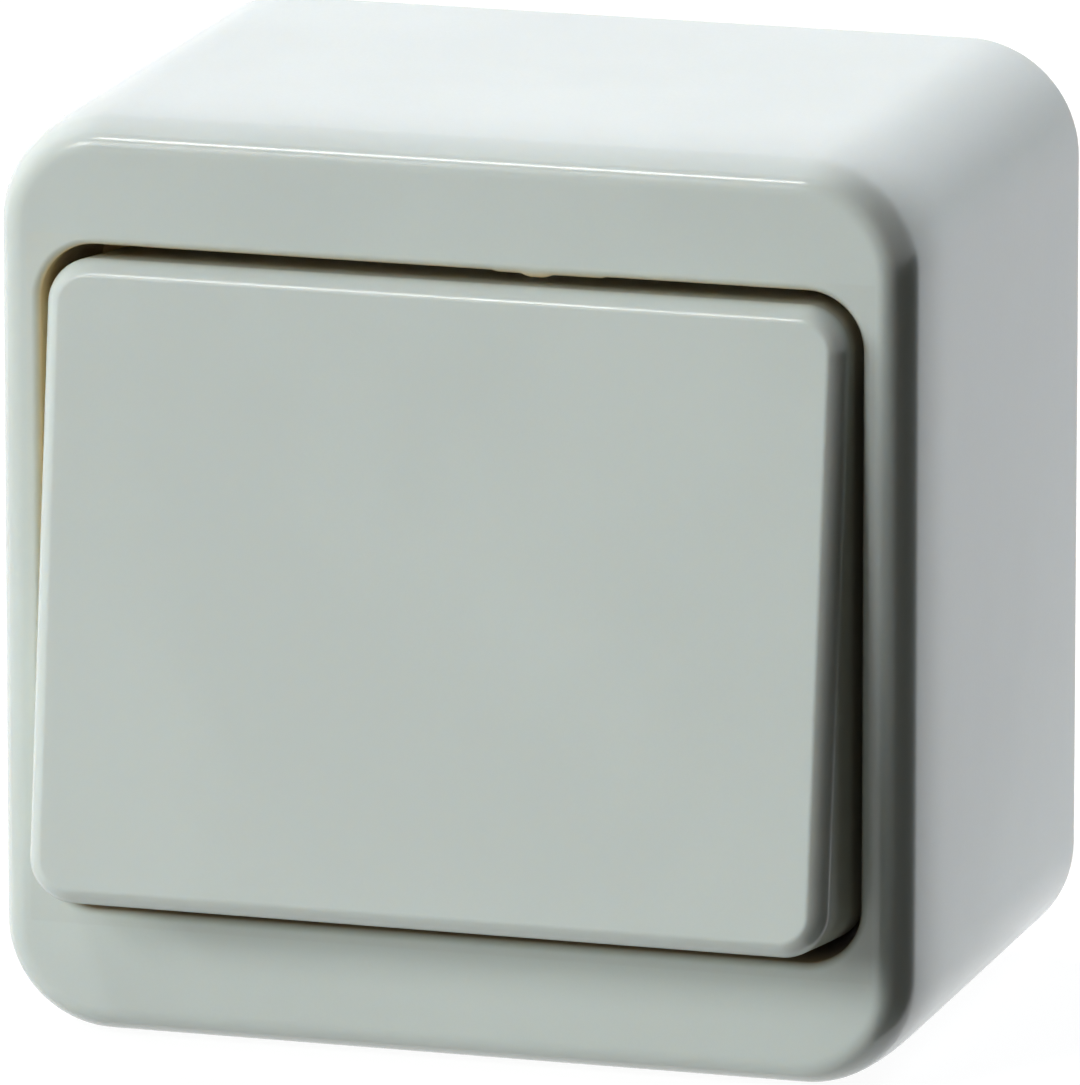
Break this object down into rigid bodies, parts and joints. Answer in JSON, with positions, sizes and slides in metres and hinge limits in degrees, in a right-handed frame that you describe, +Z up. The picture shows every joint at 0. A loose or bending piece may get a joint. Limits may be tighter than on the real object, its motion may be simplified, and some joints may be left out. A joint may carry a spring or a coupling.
{
  "type": "surface mounted light switch",
  "caption": "Square surface mounted light switch with one wide rocker, rounded corners, a screw-down back plate and a two-way contact mechanism inside.",
  "frame": {"origin": "centre of the back face, in the plane of the wall", "axes": "-Y out of the wall towards the user, +Z up, +X to the right seen from the front"},
  "size_m": [0.066, 0.0508, 0.0654],
  "materials": {
    "white_plastic": "satin gloss",
    "grey_plastic": "matt",
    "dark_plastic": "matt",
    "brass": "stamped",
    "contact_silver": "bright",
    "zinc_steel": "zinc plated"
  },
  "bodies": {
    "base": {"housing_cover": "white_plastic", "base_plate": "grey_plastic", "switch_socket": "dark_plastic", "bearing_frame": "grey_plastic", "common_strip": "brass", "terminal_strip_upper": "brass", "terminal_strip_lower": "brass", "fixed_contact_upper": "contact_silver", "fixed_contact_lower": "contact_silver", "terminal_clamp_common": "zinc_steel", "terminal_clamp_upper": "zinc_steel", "terminal_clamp_lower": "zinc_steel", "terminal_screw_common": "zinc_steel", "terminal_screw_upper": "zinc_steel", "terminal_screw_lower": "zinc_steel", "socket_screw_left": "zinc_steel", "socket_screw_right": "zinc_steel", "cover_screw_left": "zinc_steel", "cover_screw_right": "zinc_steel"},
    "rocker": {"rocker": "white_plastic", "rocker_cradle": "grey_plastic", "toggle_spring": "zinc_steel"},
    "plunger": {"plunger": "zinc_steel"},
    "lever": {"contact_lever": "brass", "moving_contact_upper": "contact_silver", "moving_contact_lower": "contact_silver"}
  },
  "joints": [
    {"name": "rocker_hinge", "type": "hinge", "parent": "base", "child": "rocker", "pos_m": [0, -0.0423, 0], "axis": [1, 0, 0], "range_deg": [0, 14]},
    {"name": "lever_hinge", "type": "hinge", "parent": "base", "child": "lever", "pos_m": [0, -0.0212, 0], "axis": [1, 0, 0], "range_deg": [-14, 0]},
    {"name": "plunger_slide", "type": "slide", "parent": "rocker", "child": "plunger", "axis": [0, -0.9925, 0.1219], "range_m": [0, 0.0008], "stiffness_N_per_m": 400, "springref_m": -0.002, "deforming": ["toggle_spring"]}
  ],
  "couplings": [
    {"joint": "lever_hinge", "follows": "rocker_hinge", "ratio": -1}
  ]
}
